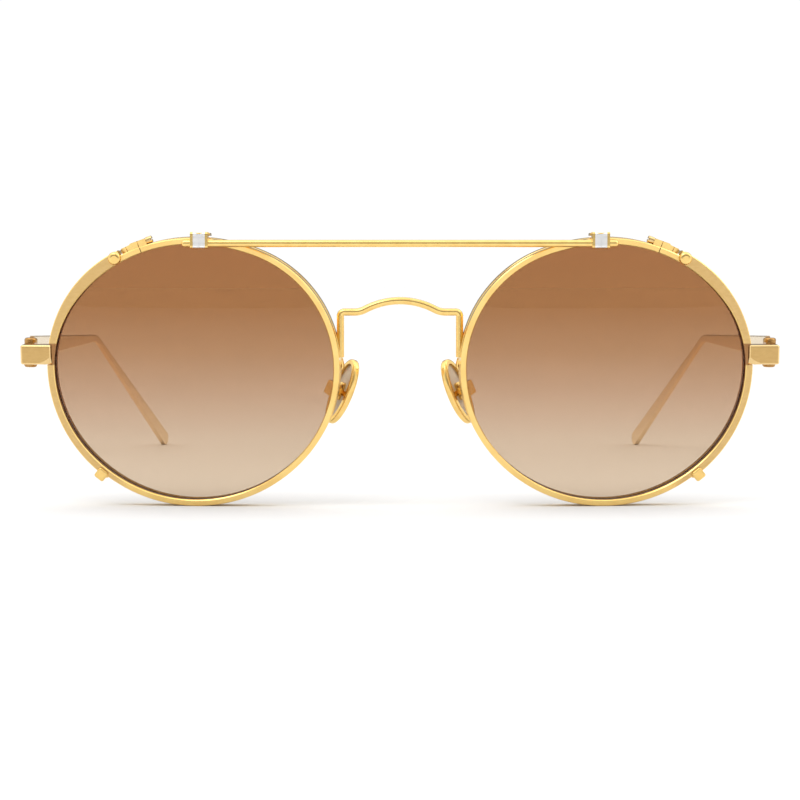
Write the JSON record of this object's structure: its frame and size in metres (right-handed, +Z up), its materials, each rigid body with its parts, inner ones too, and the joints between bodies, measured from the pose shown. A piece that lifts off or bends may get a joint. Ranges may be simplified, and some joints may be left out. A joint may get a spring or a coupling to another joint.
{
  "type": "clip on sunglasses",
  "caption": "Wire spectacle frame with oval lenses, folding temples and nose pads, wearing a removable gradient-tinted clip with a straight brow bar.",
  "frame": {"origin": "centre of the bounding box's foot, on the surface that the rims and temple tips rest on", "axes": "-Y is the way the wearer looks, +X is to the right in the front view, +Z is up"},
  "size_m": [0.14, 0.143, 0.0505],
  "materials": {
    "polished_gold": "polished gold plating on wire",
    "satin_gold": "satin brushed gold plating",
    "silver": "polished pale metal",
    "screw_steel": "gold-toned screws",
    "tinted_lens": "brown gradient tint, darker at the top",
    "clear_lens": "clear, polished",
    "pad_silicone": "translucent beige silicone"
  },
  "bodies": {
    "front_frame": {"eyewire_left": "polished_gold", "eyewire_right": "polished_gold", "demo_lens_left": "clear_lens", "demo_lens_right": "clear_lens", "bridge": "polished_gold", "endpiece_left": "satin_gold", "endpiece_right": "satin_gold", "front_hinge_left": "polished_gold", "front_hinge_right": "polished_gold", "hinge_screw_left": "screw_steel", "hinge_screw_right": "screw_steel", "base_rim_lock_left": "polished_gold", "base_rim_lock_right": "polished_gold", "base_lock_screw_left": "screw_steel", "base_lock_screw_right": "screw_steel", "pad_arm_left": "polished_gold", "pad_arm_right": "polished_gold", "pad_box_left": "polished_gold", "pad_box_right": "polished_gold", "pad_screw_left": "screw_steel", "pad_screw_right": "screw_steel"},
    "left_temple": {"temple_left": "satin_gold", "temple_hinge_left": "polished_gold"},
    "right_temple": {"temple_right": "satin_gold", "temple_hinge_right": "polished_gold"},
    "clip": {"clip_rim_left": "polished_gold", "clip_rim_right": "polished_gold", "clip_lens_left": "tinted_lens", "clip_lens_right": "tinted_lens", "clip_brow_bar": "polished_gold", "clip_collar_left": "polished_gold", "clip_collar_right": "polished_gold", "clip_collar_grip_left": "silver", "clip_collar_grip_right": "silver", "clip_top_hook_left": "polished_gold", "clip_top_hook_right": "polished_gold", "clip_upper_claw_left": "polished_gold", "clip_upper_claw_right": "polished_gold", "clip_lower_claw_left": "polished_gold", "clip_lower_claw_right": "polished_gold", "clip_rim_lock_left": "polished_gold", "clip_rim_lock_right": "polished_gold", "clip_lock_screw_left": "screw_steel", "clip_lock_screw_right": "screw_steel"},
    "left_pad": {"pad_ring_left": "polished_gold", "pad_cushion_left": "pad_silicone"},
    "right_pad": {"pad_ring_right": "polished_gold", "pad_cushion_right": "pad_silicone"}
  },
  "joints": [
    {"name": "left_temple_hinge", "type": "hinge", "parent": "front_frame", "child": "left_temple", "pos_m": [-0.0688, -0.06051, 0.02825], "axis": [-0.0209, 0, -0.9998], "range_deg": [0, 84]},
    {"name": "right_temple_hinge", "type": "hinge", "parent": "front_frame", "child": "right_temple", "pos_m": [0.0688, -0.06051, 0.02825], "axis": [0.0209, 0, 0.9998], "range_deg": [0, 84]},
    {"name": "clip_pull", "type": "slide", "parent": "front_frame", "child": "clip", "axis": [0, -1, 0], "range_m": [0, 0.03]},
    {"name": "left_pad_rock", "type": "hinge", "parent": "front_frame", "child": "left_pad", "pos_m": [-0.01237, -0.06142, 0.02151], "axis": [-0.4531, 0.8522, 0.2615], "range_deg": [-7, 7]},
    {"name": "right_pad_rock", "type": "hinge", "parent": "front_frame", "child": "right_pad", "pos_m": [0.01237, -0.06142, 0.02151], "axis": [0.4531, 0.8522, 0.2615], "range_deg": [-7, 7]}
  ]
}
